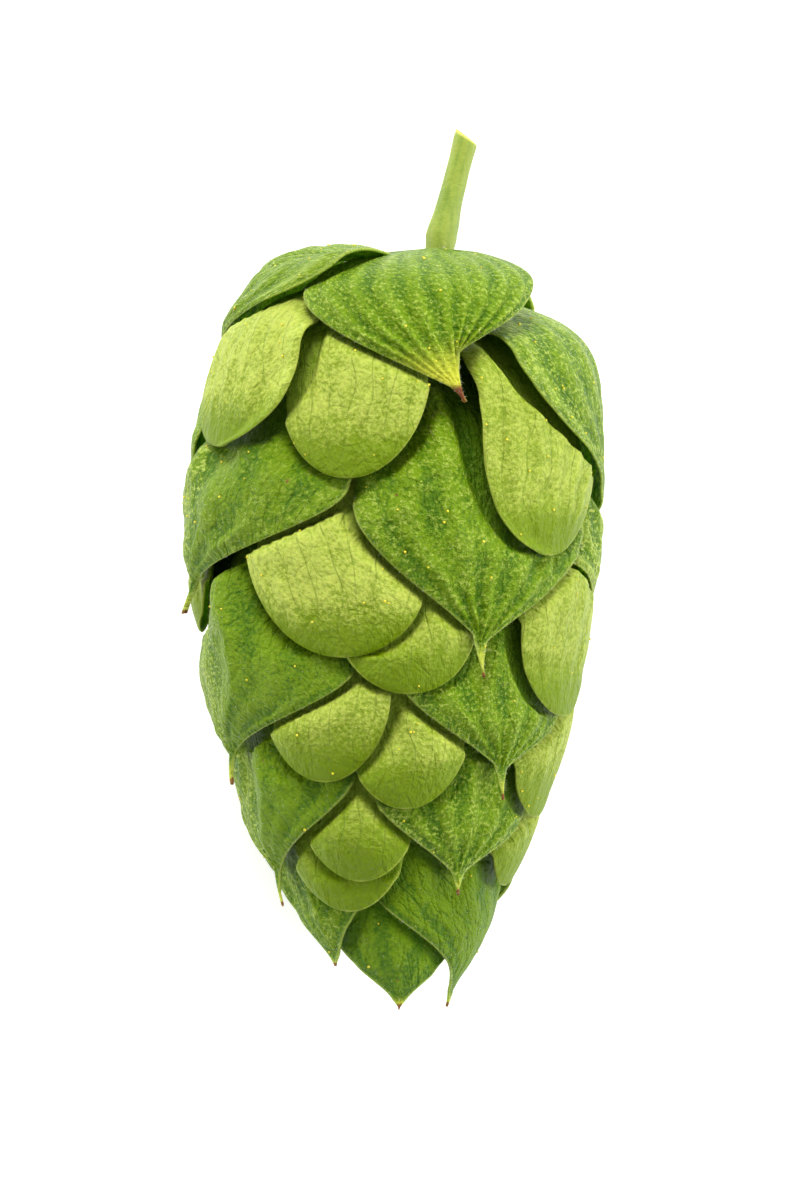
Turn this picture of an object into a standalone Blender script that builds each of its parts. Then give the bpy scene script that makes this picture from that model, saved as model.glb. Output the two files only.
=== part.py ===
"""A hop cone with its short cut stem, lying on its side.

The stem lies towards +Y and the tip of the cone towards -Y. The cone rests on the plane z = 0
on its lowest scales. Every scale grows from the stem's inner end, runs outwards and lies down
on the scales beneath it, as roof shingles do. Lengths in this file are in millimetres, and MM
turns them into Blender's metres.
"""

import math
from collections import namedtuple

import bmesh
import bpy

MM = 0.001

# The cone's outer form. A place on it is given by its drop, the distance along the axis from
# the shoulder towards the tip, and its turn, the angle round the axis from straight up.
GIRTH_RADIUS = 10.9
SHOULDER_START = 4.0
LEFT_SHOULDER_EASE = 1.8
SHOULDER_RISE = 3.2
TAPER_START = 12.0
TAPER_LENGTH = 31.0
TAPER_LIMIT = 0.99
TAPER_POWER = 0.78
REST_RADIUS = 9.07
REST_SHARPNESS = 14.0
REST_FROM = 0.2
AXIS_HEIGHT = 8.92
SHOULDER_Y = 17.6

# How a scale lies: its dip under the scale outside it, and its reach from base to seat.
DIP = 0.17
SHORT_REACH = 8.5
LONG_REACH = 15.5
REACH_START = 8.0
REACH_RUN = 14.0
SHORT_SHARPNESS = 12.0
LONG_SHARPNESS = 7.0
SCALE_THICKNESS = 0.13
BASE_RADIUS = 1.25
BASE_NARROWING = 0.35
FULL_WIDTH_RADIUS = 3.2
TIP_HALF_WIDTH = 0.16
TIP_BEND_RUN = 9.0
SHOULDER_POWER = 1.1
AWN_HALF_WIDTH = 0.42
AWN_KICK = 0.3
CLEAR_GAP = 0.6
CLEAR_RUN = 1.6
COVER_HALF_WIDTH = 0.6

# The stem and its inner end, the zigzag axis that the scales grow from.
STEM_CUT_DROP = -5.2
STEM_LEAN = 0.26
STEM_SHIFT = 2.55
STEM_SHIFT_RUN = 4.0
STEM_CUT_RADIUS = 0.62
STEM_NECK_RADIUS = 0.68
STRIG_END_DROP = 27.0
STRIG_END_RADIUS = 0.3
ZIGZAG_PITCH = 6.2
ZIGZAG_SWING = 0.16
ZIGZAG_START = 3.0
STEM_POINTS = 20
STEM_BEVEL_RESOLUTION = 2

CELL_TURN = 14.0
LEAST_ACROSS = 4
ROW_TURN = 6.3
LEAST_ALONG = 6
ROW_CROWDING = 1.45
PROFILE_STEPS = 160

COLLECTION_NAME = "hop_cone"

Bract = namedtuple("Bract", "name seat tip turn half_turn tip_turn awn_left awn_right shoulder fill bulge")
Bracteole = namedtuple("Bracteole", "name seat tip turn half_turn tip_turn rounding fill bulge")

# seat: the drop where the scale meets the outer form, which also orders the layers, with the
# smallest seat outermost. tip: the drop of its tip. turn, half_turn and tip_turn: the middle,
# the half width and the tip round the axis, in degrees. fill and bulge: how far the bare part
# swells out to the outer form, and past it.
BRACTS = [
    Bract("bract_cap_left", 7.5, 6.6, -78, 68, -110, 0.5, 0.5, 4.5, 0.2, 0.0),
    Bract("bract_cap_front", 9.2, 8.9, 14, 50, 18.5, 0.7, 2.6, 6.2, 0.5, 0.3),
    Bract("bract_cap_back", 9.4, 9.0, 176, 46, 178, 1.0, 1.0, 4.5, 1.0, 0.0),
    Bract("bract_cap_right", 14.5, 16.6, 90, 54, 114, 0.9, 0.9, 11.0, 1.0, 0.2),
    Bract("bract_1_left", 18.7, 19.9, -76, 64, -80, 1.7, 1.7, 4.9, 1.0, 0.3),
    Bract("bract_1_right", 20.5, 23.2, 31, 43, 25.5, 2.2, 1.8, 7.4, 1.0, 0.1),
    Bract("bract_2_left", 27.0, 28.8, -75, 62, -70, 1.7, 1.7, 4.6, 1.0, 0.2),
    Bract("bract_2_right", 27.2, 29.6, 43, 40, 40, 1.8, 1.6, 4.8, 1.0, 0.1),
    Bract("bract_3_left", 33.1, 35.2, -75, 60, -64, 1.9, 1.9, 5.6, 0.8, 0.1),
    Bract("bract_3_right", 33.2, 34.6, 35, 42, 31, 1.2, 1.2, 4.6, 0.8, 0.1),
    Bract("bract_4_left", 38.0, 38.4, -50, 38, -46, 0.6, 0.6, 5.0, 0.6, 0.0),
    Bract("bract_4_right", 39.1, 40.6, 33, 56, 76, 1.0, 0.8, 5.4, 0.6, 0.0),
    Bract("bract_back_1_left", 15.0, 17.0, -135, 50, -135, 1.2, 1.2, 5.5, 1.0, 0.0),
    Bract("bract_back_1_right", 21.4, 20.2, 104, 44, 98, 0.6, 0.6, 4.4, 1.0, 0.0),
    Bract("bract_back_2_left", 22.9, 24.7, -135, 50, -133, 1.4, 1.4, 5.0, 1.0, 0.0),
    Bract("bract_back_2_right", 24.8, 26.6, 122, 44, 120, 1.4, 1.4, 5.0, 1.0, 0.0),
    Bract("bract_back_3_left", 29.4, 31.2, -135, 50, -133, 1.5, 1.5, 5.0, 0.9, 0.0),
    Bract("bract_back_3_right", 31.3, 33.0, 122, 44, 120, 1.4, 1.4, 5.0, 0.9, 0.0),
    Bract("bract_back_4_left", 35.4, 36.8, -138, 46, -135, 1.4, 1.4, 4.6, 0.8, 0.0),
    Bract("bract_back_4_right", 36.8, 37.6, 124, 44, 132, 1.0, 1.0, 4.6, 0.8, 0.0),
    Bract("bract_5_back", 40.8, 39.2, -165, 58, -175, 0.8, 0.8, 4.0, 0.5, 0.0),
    Bract("bract_5_front", 42.0, 40.7, 2, 54, 8, 0.5, 0.5, 3.6, 0.5, 0.0),
]
BRACTEOLES = [
    Bracteole("bracteole_cap_left", 11.2, 11.2, -54, 29, -58, 4.2, 0.6, 0.2),
    Bracteole("bracteole_cap_front", 13.0, 12.9, -12, 23.5, -12.5, 6.4, 0.8, 0.2),
    Bracteole("bracteole_cap_right", 16.3, 16.9, 57, 33, 49, 11.0, 0.9, 0.1),
    Bracteole("bracteole_cap_back_a", 11.4, 11.4, 156, 27, 158, 4.6, 1.0, 0.0),
    Bracteole("bracteole_cap_back_b", 13.2, 13.2, -162, 27, -164, 4.8, 1.0, 0.0),
    Bracteole("bracteole_1_a", 22.3, 22.2, -20.5, 28, -15, 5.2, 0.9, 0.3),
    Bracteole("bracteole_1_b", 24.1, 24.1, 3, 22.5, 5, 4.2, 0.9, 0.3),
    Bracteole("bracteole_1_right", 22.7, 25.3, 72, 29, 66, 6.5, 1.0, 0.1),
    Bracteole("bracteole_2_a", 29.3, 28.7, -22, 23, -25, 4.2, 0.8, 0.3),
    Bracteole("bracteole_2_b", 30.6, 30.1, 6, 22, 5, 4.2, 0.9, 0.3),
    Bracteole("bracteole_2_right", 29.2, 30.6, 76, 25, 70, 5.0, 0.9, 0.1),
    Bracteole("bracteole_3_a", 35.0, 33.9, -15, 25, -15, 3.4, 0.9, 0.2),
    Bracteole("bracteole_3_b", 36.7, 35.5, -24, 30, -24, 3.6, 0.7, 0.1),
    Bracteole("bracteole_3_right", 35.0, 34.2, 76, 24, 70, 4.0, 0.8, 0.1),
    Bracteole("bracteole_back_1_b", 18.2, 18.2, -167, 23, -167, 5.0, 1.0, 0.0),
    Bracteole("bracteole_back_1_a", 20.1, 20.1, 163, 26, 165, 5.0, 1.0, 0.0),
    Bracteole("bracteole_left_1", 21.2, 20.9, -99, 21, -97, 4.0, 0.9, 0.0),
    Bracteole("bracteole_back_2_b", 25.0, 24.9, -163, 25, -164, 5.0, 1.0, 0.0),
    Bracteole("bracteole_back_2_a", 26.9, 26.8, 164, 26, 165, 5.0, 1.0, 0.0),
    Bracteole("bracteole_back_3_b", 31.7, 31.4, -163, 26, -164, 4.4, 0.9, 0.0),
    Bracteole("bracteole_back_3_a", 33.4, 33.0, 164, 27, 165, 4.2, 0.9, 0.0),
    Bracteole("bracteole_back_4", 38.6, 37.4, 178, 34, 178, 3.6, 0.7, 0.0),
]


def smooth_step(value):
    """Ease from 0 to 1 as the value runs from 0 to 1."""
    value = min(max(value, 0.0), 1.0)
    return value * value * (3.0 - 2.0 * value)


def turn_between(first, second):
    """The angle from the second turn to the first, in degrees, the short way round."""
    return (first - second + 180.0) % 360.0 - 180.0


def outer_radius(drop, turn):
    """The outer form: a rounded shoulder, a long taper and a flattened underside."""
    leftwards = max(-math.sin(math.radians(turn)), 0.0)
    rise = SHOULDER_RISE + LEFT_SHOULDER_EASE * leftwards * leftwards
    shoulder = 1.0 - math.exp(-max(drop + SHOULDER_START, 0.0) / rise)
    along = min(max((drop - TAPER_START) / TAPER_LENGTH, 0.0), TAPER_LIMIT)
    radius = GIRTH_RADIUS * shoulder * (1.0 - along * along) ** TAPER_POWER
    downwards = -math.cos(math.radians(turn))
    if downwards > REST_FROM:
        flat = REST_RADIUS / downwards
        radius = (radius ** -REST_SHARPNESS + flat ** -REST_SHARPNESS) ** (-1.0 / REST_SHARPNESS)
    return radius


def reach(scale):
    """The distance along the axis from the scale's base to its seat."""
    grown = smooth_step((scale.seat - REACH_START) / REACH_RUN)
    return SHORT_REACH + (LONG_REACH - SHORT_REACH) * grown


def sharpness(scale):
    """How sharply the scale bends from growing outwards to lying along the cone."""
    grown = smooth_step((scale.seat - REACH_START) / REACH_RUN)
    return SHORT_SHARPNESS + (LONG_SHARPNESS - SHORT_SHARPNESS) * grown


def layer_radius(scale, drop, turn):
    """The scale's outer face before its bare part swells."""
    outer = outer_radius(drop, turn)
    above_seat = scale.seat - drop
    length = reach(scale)
    inwards = max(above_seat / length, 0.0) ** sharpness(scale)
    return outer - DIP * above_seat - (outer - DIP * length) * inwards


def half_angle(scale, drop, side, radius):
    """The scale's half width round the axis, in degrees, on its left (-1) or right (+1)."""
    to_tip = max(scale.tip - drop, 0.0)
    if isinstance(scale, Bracteole):
        near_tip = min(to_tip / scale.rounding, 1.0)
        angle = scale.half_turn * math.sqrt(1.0 - (1.0 - near_tip) ** 2)
    else:
        awn = scale.awn_left if side < 0 else scale.awn_right
        awn_angle = math.degrees(AWN_HALF_WIDTH / radius)
        if to_tip < awn:
            angle = awn_angle * to_tip / awn
        else:
            along = min((to_tip - awn) / scale.shoulder, 1.0)
            opened = math.sin(0.5 * math.pi * along) ** SHOULDER_POWER
            angle = awn_angle + (scale.half_turn - awn_angle) * opened
    return max(angle, math.degrees(TIP_HALF_WIDTH / radius))


def middle_turn(scale, drop):
    """The turn of the scale's middle line, which bends towards its tip."""
    towards_tip = smooth_step(1.0 - (scale.tip - drop) / TIP_BEND_RUN)
    return scale.turn + turn_between(scale.tip_turn, scale.turn) * towards_tip


def clearance(cover, drop, turn, radius):
    """The distance from a place to the edge of a covering scale, negative beneath it."""
    aside = turn_between(turn, middle_turn(cover, drop))
    side = -1 if aside < 0.0 else 1
    width = half_angle(cover, drop, side, radius)
    beside = math.radians(abs(aside) - width) * radius
    if math.radians(width) * radius < COVER_HALF_WIDTH:
        beside = max(beside, COVER_HALF_WIDTH)
    past_tip = drop - cover.tip
    if past_tip > 0.0:
        return math.hypot(max(beside, 0.0), past_tip)
    return beside


def bareness(scale, covers, drop, turn, radius):
    """1 where nothing lies on the scale, easing to 0 beneath the scales outside it."""
    bare = 1.0
    for cover in covers:
        bare *= smooth_step((clearance(cover, drop, turn, radius) - CLEAR_GAP) / CLEAR_RUN)
        if bare == 0.0:
            break
    return bare


def face_radius(scale, covers, drop, turn, across):
    """The finished outer face: the layer, its swelling and the kick of a bract's awn."""
    radius = layer_radius(scale, drop, turn)
    swell = scale.fill * DIP * max(scale.seat - drop, 0.0)
    swell += scale.bulge * (1.0 - across * across)
    if swell > 0.0:
        radius += swell * bareness(scale, covers, drop, turn, radius)
    if isinstance(scale, Bract):
        awn = 0.5 * (scale.awn_left + scale.awn_right)
        radius += AWN_KICK * max(drop - scale.tip + awn, 0.0)
    return radius


def stem_shift(drop):
    """How far the stem's middle line stands to the right of the cone's axis."""
    if drop < 0.0:
        return STEM_SHIFT - STEM_LEAN * drop
    return STEM_SHIFT * math.exp(-(drop / STEM_SHIFT_RUN) ** 2)


def place(radius, turn, drop):
    """The point at a radius, turn and drop, in metres. Near the middle it follows the stem."""
    angle = math.radians(turn)
    inward = max(1.0 - radius / GIRTH_RADIUS, 0.0) ** 2
    x = radius * math.sin(angle) + stem_shift(drop) * inward
    z = max(AXIS_HEIGHT + radius * math.cos(angle), 0.0)
    return (x * MM, (SHOULDER_Y - drop) * MM, z * MM)


def row_drops(scale, count):
    """The drops of a scale's rows, evenly spread along its profile and closer at its tip."""
    base = scale.seat - reach(scale)
    length = scale.tip - base
    fine = [base + length * (step / PROFILE_STEPS) ** 2 for step in range(PROFILE_STEPS + 1)]
    fine = [drop for drop in fine if layer_radius(scale, drop, scale.turn) > BASE_RADIUS]
    travelled = [0.0]
    for first, second in zip(fine, fine[1:]):
        rise = layer_radius(scale, second, scale.turn) - layer_radius(scale, first, scale.turn)
        travelled.append(travelled[-1] + math.hypot(second - first, rise))
    drops = []
    for row in range(count + 1):
        wanted = travelled[-1] * (1.0 - (1.0 - row / count) ** ROW_CROWDING)
        passed = sum(1 for distance in travelled if distance < wanted)
        drops.append(fine[min(passed, len(fine) - 1)])
    return drops


def scale_mesh(scale, covers):
    """One scale's outer face, a grid moved onto its layer."""
    mesh = bmesh.new()
    cells_across = max(round(2.0 * scale.half_turn / CELL_TURN), LEAST_ACROSS)
    cells_along = max(round(scale.half_turn / ROW_TURN), LEAST_ALONG)
    bmesh.ops.create_grid(mesh, x_segments=cells_across, y_segments=cells_along, size=1.0)
    drops = row_drops(scale, cells_along)
    for vertex in mesh.verts:
        across = vertex.co.x
        row = round((vertex.co.y + 1.0) * 0.5 * cells_along)
        drop = drops[row]
        radius = layer_radius(scale, drop, scale.turn)
        grown = smooth_step((radius - BASE_RADIUS) / (FULL_WIDTH_RADIUS - BASE_RADIUS))
        grown = BASE_NARROWING + (1.0 - BASE_NARROWING) * grown
        width = half_angle(scale, drop, across, radius) * grown
        turn = middle_turn(scale, drop) + across * width
        vertex.co = place(face_radius(scale, covers, drop, turn, across), turn, drop)
    bmesh.ops.reverse_faces(mesh, faces=mesh.faces)
    data = bpy.data.meshes.new(scale.name)
    mesh.to_mesh(data)
    mesh.free()
    return data


def new_material(name, colour, roughness):
    """A plain Principled finish."""
    material = bpy.data.materials.new(name)
    material.use_nodes = True
    shader = material.node_tree.nodes["Principled BSDF"]
    shader.inputs["Base Color"].default_value = (*colour, 1.0)
    shader.inputs["Roughness"].default_value = roughness
    shader.inputs["Metallic"].default_value = 0.0
    return material


def build_scale(collection, scale, covers, material):
    """A scale as an object: its outer face with a thin wall behind it."""
    scale_object = bpy.data.objects.new(scale.name, scale_mesh(scale, covers))
    collection.objects.link(scale_object)
    scale_object.data.materials.append(material)
    wall = scale_object.modifiers.new("wall", "SOLIDIFY")
    wall.thickness = SCALE_THICKNESS * MM
    wall.offset = -1.0
    scale_object.data.shade_smooth()
    return scale_object


def build_stem(collection, material):
    """The cut stem, running on inside the cone as its zigzag axis."""
    curve = bpy.data.curves.new("stem", "CURVE")
    curve.dimensions = "3D"
    curve.bevel_depth = MM
    curve.bevel_resolution = STEM_BEVEL_RESOLUTION
    curve.use_fill_caps = True
    spline = curve.splines.new("POLY")
    spline.points.add(STEM_POINTS - 1)
    for index, point in enumerate(spline.points):
        share = index / (STEM_POINTS - 1)
        drop = STEM_CUT_DROP + (STRIG_END_DROP - STEM_CUT_DROP) * share
        inside = smooth_step(drop / STRIG_END_DROP)
        outside = smooth_step(drop / STEM_CUT_DROP)
        swing = ZIGZAG_SWING * math.cos(2.0 * math.pi * drop / ZIGZAG_PITCH)
        swing *= smooth_step(drop / ZIGZAG_START)
        radius = STEM_NECK_RADIUS + (STEM_CUT_RADIUS - STEM_NECK_RADIUS) * outside
        radius += (STRIG_END_RADIUS - STEM_NECK_RADIUS) * inside
        position = (stem_shift(drop) * MM, (SHOULDER_Y - drop) * MM, (AXIS_HEIGHT + swing) * MM)
        point.co = (*position, 1.0)
        point.radius = radius
    stem = bpy.data.objects.new("stem", curve)
    collection.objects.link(stem)
    stem.data.materials.append(material)
    return stem


def main():
    """Clear the file's objects and build the cone."""
    for old in list(bpy.data.objects):
        bpy.data.objects.remove(old, do_unlink=True)
    collection = bpy.data.collections.new(COLLECTION_NAME)
    bpy.context.scene.collection.children.link(collection)
    bract_green = new_material("bract_green", (0.10, 0.24, 0.03), 0.6)
    bracteole_green = new_material("bracteole_green", (0.26, 0.42, 0.06), 0.5)
    stem_green = new_material("stem_green", (0.24, 0.36, 0.06), 0.6)
    build_stem(collection, stem_green)
    layers = sorted(BRACTS + BRACTEOLES, key=lambda scale: scale.seat)
    for index, scale in enumerate(layers):
        material = bract_green if isinstance(scale, Bract) else bracteole_green
        build_scale(collection, scale, layers[:index], material)


main()
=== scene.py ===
"""A hop cone lying on its side, finished for rendering.

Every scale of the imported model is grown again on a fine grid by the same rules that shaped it,
with its ribs, puckers, turned-up rims and awns, and is given a leaf finish. Resin glands and
hairs are scattered over the finished scales. Lengths are in millimetres, and MM turns them into
Blender's metres. A place on the cone is given by its drop, the distance along the axis from the
shoulder towards the tip, and its turn, the angle round the axis from straight up, in degrees.
"""

import math
from collections import namedtuple

import bpy
import numpy as np
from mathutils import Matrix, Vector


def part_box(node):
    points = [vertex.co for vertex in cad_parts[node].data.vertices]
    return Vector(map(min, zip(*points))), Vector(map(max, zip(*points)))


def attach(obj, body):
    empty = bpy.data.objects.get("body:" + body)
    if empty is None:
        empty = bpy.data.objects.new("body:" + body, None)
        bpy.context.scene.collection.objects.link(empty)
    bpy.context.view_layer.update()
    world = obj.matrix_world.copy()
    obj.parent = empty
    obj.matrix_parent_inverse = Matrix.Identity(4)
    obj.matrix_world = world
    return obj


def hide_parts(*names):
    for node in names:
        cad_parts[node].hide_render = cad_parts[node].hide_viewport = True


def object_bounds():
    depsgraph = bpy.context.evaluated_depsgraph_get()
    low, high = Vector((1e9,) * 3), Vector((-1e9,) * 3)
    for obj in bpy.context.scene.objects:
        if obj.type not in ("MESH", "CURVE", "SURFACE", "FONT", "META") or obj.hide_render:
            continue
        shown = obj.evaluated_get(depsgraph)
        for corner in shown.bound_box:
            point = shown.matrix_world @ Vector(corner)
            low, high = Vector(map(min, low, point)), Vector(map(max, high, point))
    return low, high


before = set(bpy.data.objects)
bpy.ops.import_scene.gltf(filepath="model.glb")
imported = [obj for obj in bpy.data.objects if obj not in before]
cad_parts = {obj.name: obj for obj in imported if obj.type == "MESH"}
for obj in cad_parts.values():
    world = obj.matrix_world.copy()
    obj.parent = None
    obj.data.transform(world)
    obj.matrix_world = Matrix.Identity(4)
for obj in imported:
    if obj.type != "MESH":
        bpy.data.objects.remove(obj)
cad_low, cad_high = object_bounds()

bl_info = {
    "name": "Hop cone",
    "version": (1, 0, 0),
    "blender": (4, 5, 0),
    "location": "3D View > Sidebar > Hop cone",
    "description": "Grows the finished scales, stem, resin and hairs of a hop cone",
    "category": "Add Mesh",
}

MM = 0.001
BODY = "root"

# The cone's outer form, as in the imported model.
SHOULDER_START = 4.0
LEFT_SHOULDER_EASE = 1.8
SHOULDER_RISE = 3.2
TAPER_START = 12.0
TAPER_LENGTH = 31.0
TAPER_LIMIT = 0.99
TAPER_POWER = 0.78
GIRTH_RADIUS = 10.9
REST_RADIUS = 9.07
REST_SHARPNESS = 14.0
REST_FROM = 0.2
AXIS_HEIGHT = 8.92
SHOULDER_Y = 17.6

# How a scale lies on the scales beneath it.
DIP = 0.17
SHORT_REACH = 8.5
LONG_REACH = 15.5
REACH_START = 8.0
REACH_RUN = 14.0
SHORT_SHARPNESS = 12.0
LONG_SHARPNESS = 7.0
BASE_RADIUS = 1.25
BASE_NARROWING = 0.35
FULL_WIDTH_RADIUS = 3.2
TIP_BEND_RUN = 9.0
SHOULDER_POWER = 1.1
AWN_HALF_WIDTH = 0.42
AWN_KICK = 0.3
COVER_HALF_WIDTH = 0.6
PROFILE_STEPS = 400
ROW_CROWDING = 1.25

# The fine outline of a scale's tip.
AWN_TIP_HALF_WIDTH = 0.05
AWN_TAPER = 1.25
BRACTEOLE_TIP_HALF_WIDTH = 0.16

# How a scale rises beyond the rims of the scales that cover it.
CLEAR_GAP = 0.15
CLEAR_RUN = 0.95
RISE_RUN = 2.8
GENTLE_SHARE = 0.5

# The grid of a scale, and its relief.
LEAST_COLUMNS = 16
GIRTH_ABOVE_SEAT = 2.0
AWN_EASE = 2.0
RIB_SHARPNESS = 1.4
RIB_TIP_RUN = 3.5
RIB_RIM_RUN = 0.8
RIB_WANDER = 0.35
RIB_WANDER_ACROSS = 0.4
RIB_WANDER_ALONG = 0.35
PUCKER_ACROSS = 0.95
PUCKER_ALONG = 1.5
PUCKER_CONTRAST = 0.55
FINE_PUCKER = 2.1
SWELL_ACROSS = 3.4
SWELL_ALONG = 4.6
INNER_RUN = 2.2
KEEL_WIDTH = 1.5
DOME_RUN = 2.4
DOME_TIP_RUN = 3.6
DOME_POWER = 2.2
RIM_LIFT_WIDTH = 1.5
RIM_LIFT_EASE = 2.0
RIM_LIFT_WANDER = 0.6
RIM_LIFT_ALONG = 0.9
TUCK_RADIUS = 7.6
TUCK_HUMP = 0.22

# What a scale's finish is told.
RIB_MASK_SHARE = 0.65
WIDEST_RIM = 4.0
# Painted light: the flank beyond a folded bract's fold is given extra pale bloom, as light from the side
# would pale it.
FLANK_PAINTED_LIGHT = 0.8
FLANK_EASE = 0.3
TIP_CURVE = 0.25
BROWN_EDGE = 1.4
LEAF_SPACING = 7.3
UV_MARGIN = 0.02

# The stem and its inner end, the zigzag axis that the scales grow from.
STEM_CUT_DROP = -5.2
STEM_LEAN = 0.26
STEM_SHIFT = 2.55
STEM_SHIFT_RUN = 4.0
STEM_CUT_RADIUS = 0.62
STEM_NECK_RADIUS = 0.68
STRIG_END_DROP = 27.0
STRIG_END_RADIUS = 0.3
ZIGZAG_PITCH = 6.2
ZIGZAG_SWING = 0.16
ZIGZAG_START = 3.0
STEM_SIDES = 48
STEM_ROWS = 190
STEM_RIBS = 9
STEM_RIB_HEIGHT = 0.02
STEM_FLARE = 0.16
STEM_FLARE_RUN = 1.1
STEM_FLARE_ABOVE = 0.1
STEM_CUT_SLANT = 0.42
STEM_SLANT_RUN = 0.9
STEM_CUT_ROUND = 0.16
STEM_CUT_NARROWING = 0.12
STEM_CUT_MASK = 0.12
STEM_CUT_DEPTH = 0.07
STEM_CUT_RIM = 0.8
STEM_TWIST = 0.03
STEM_RIB_SWAY = 0.8
STEM_RIB_SWAY_RATE = 0.7
STEM_BUMP_HEIGHT = 0.015
STEM_BUMPS_ROUND = 3.0
STEM_BUMPS_START = 9.0
STEM_BUMPS_ALONG = 1.3
STEM_BUMPS_SWIRL = 2.0
STEM_BUMPS_SEED = 3.0

# Where resin and hairs may grow, and the stage. Lights stand in metres from the frame's origin.
PRESSED_HEIGHT = 0.5
LEAST_BARE = 0.55
WHOLE_FACE = 9.0
HAIRS = (
    # Name, share of the full length, spacing, reach from a rim, lean and seed.
    ("rim_hairs", 1.0, 0.19, 0.22, 0.75, 23),
    ("face_hairs", 0.6, 0.5, WHOLE_FACE, 1.0, 37),
)
CAMERA_RIGHT = 0.45
CAMERA_TOWARDS_TIP = 1.58
SENSOR = 36.0
FLOOR_HALF = 3.0
FLOOR_DROP = 0.02
FLOOR_GLOW = 0.45
SKY_STRENGTH = 0.52
WHITE = (1.0, 1.0, 1.0, 1.0)
LIGHTS = (
    # Name, position, size, power and colour.
    ("key", (-0.08, 0.60, 0.42), 0.30, 5.0, (1.0, 0.99, 0.95)),
    ("fill", (0.46, 0.08, 0.42), 0.46, 1.8, (0.98, 0.99, 1.0)),
    ("left side", (-0.50, 0.02, 0.10), 0.30, 1.3, (1.0, 1.0, 0.98)),
    ("right side", (0.50, 0.02, 0.10), 0.30, 1.3, (1.0, 1.0, 0.98)),
)

Bract = namedtuple("Bract", "name seat tip turn half_turn tip_turn awn_left awn_right shoulder fill bulge")
Bracteole = namedtuple("Bracteole", "name seat tip turn half_turn tip_turn rounding fill bulge")

# seat: the drop where the scale meets the outer form, which also orders the layers, with the
# smallest seat outermost. tip: the drop of its tip. turn, half_turn and tip_turn: the middle,
# the half width and the tip round the axis. fill and bulge: how far the bare part swells out.
BRACT_ROWS = {
    "cap_left": (7.5, 6.6, -78, 68, -110, 0.5, 0.5, 4.5, 0.2, 0.0),
    "cap_front": (9.2, 8.9, 14, 50, 18.5, 0.7, 2.6, 6.2, 0.5, 0.3),
    "cap_back": (9.4, 9.0, 176, 46, 178, 1.0, 1.0, 4.5, 1.0, 0.0),
    "cap_right": (14.5, 16.6, 90, 54, 114, 0.9, 0.9, 11.0, 1.0, 0.2),
    "1_left": (18.7, 19.9, -76, 64, -80, 1.7, 1.7, 4.9, 1.0, 0.3),
    "1_right": (20.5, 23.2, 31, 43, 25.5, 2.2, 1.8, 7.4, 1.0, 0.1),
    "2_left": (27.0, 28.8, -75, 62, -70, 1.7, 1.7, 4.6, 1.0, 0.2),
    "2_right": (27.2, 29.6, 43, 40, 40, 1.8, 1.6, 4.8, 1.0, 0.1),
    "3_left": (33.1, 35.2, -75, 60, -64, 1.9, 1.9, 5.6, 0.8, 0.1),
    "3_right": (33.2, 34.6, 35, 42, 31, 1.2, 1.2, 4.6, 0.8, 0.1),
    "4_left": (38.0, 38.4, -50, 38, -46, 0.6, 0.6, 5.0, 0.6, 0.0),
    "4_right": (39.1, 40.6, 33, 56, 76, 1.0, 0.8, 5.4, 0.6, 0.0),
    "back_1_left": (15.0, 17.0, -135, 50, -135, 1.2, 1.2, 5.5, 1.0, 0.0),
    "back_1_right": (21.4, 20.2, 104, 44, 98, 0.6, 0.6, 4.4, 1.0, 0.0),
    "back_2_left": (22.9, 24.7, -135, 50, -133, 1.4, 1.4, 5.0, 1.0, 0.0),
    "back_2_right": (24.8, 26.6, 122, 44, 120, 1.4, 1.4, 5.0, 1.0, 0.0),
    "back_3_left": (29.4, 31.2, -135, 50, -133, 1.5, 1.5, 5.0, 0.9, 0.0),
    "back_3_right": (31.3, 33.0, 122, 44, 120, 1.4, 1.4, 5.0, 0.9, 0.0),
    "back_4_left": (35.4, 36.8, -138, 46, -135, 1.4, 1.4, 4.6, 0.8, 0.0),
    "back_4_right": (36.8, 37.6, 124, 44, 132, 1.0, 1.0, 4.6, 0.8, 0.0),
    "5_back": (40.8, 39.2, -165, 58, -175, 0.8, 0.8, 4.0, 0.5, 0.0),
    "5_front": (42.0, 40.7, 2, 54, 8, 0.5, 0.5, 3.6, 0.5, 0.0),
}
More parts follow.
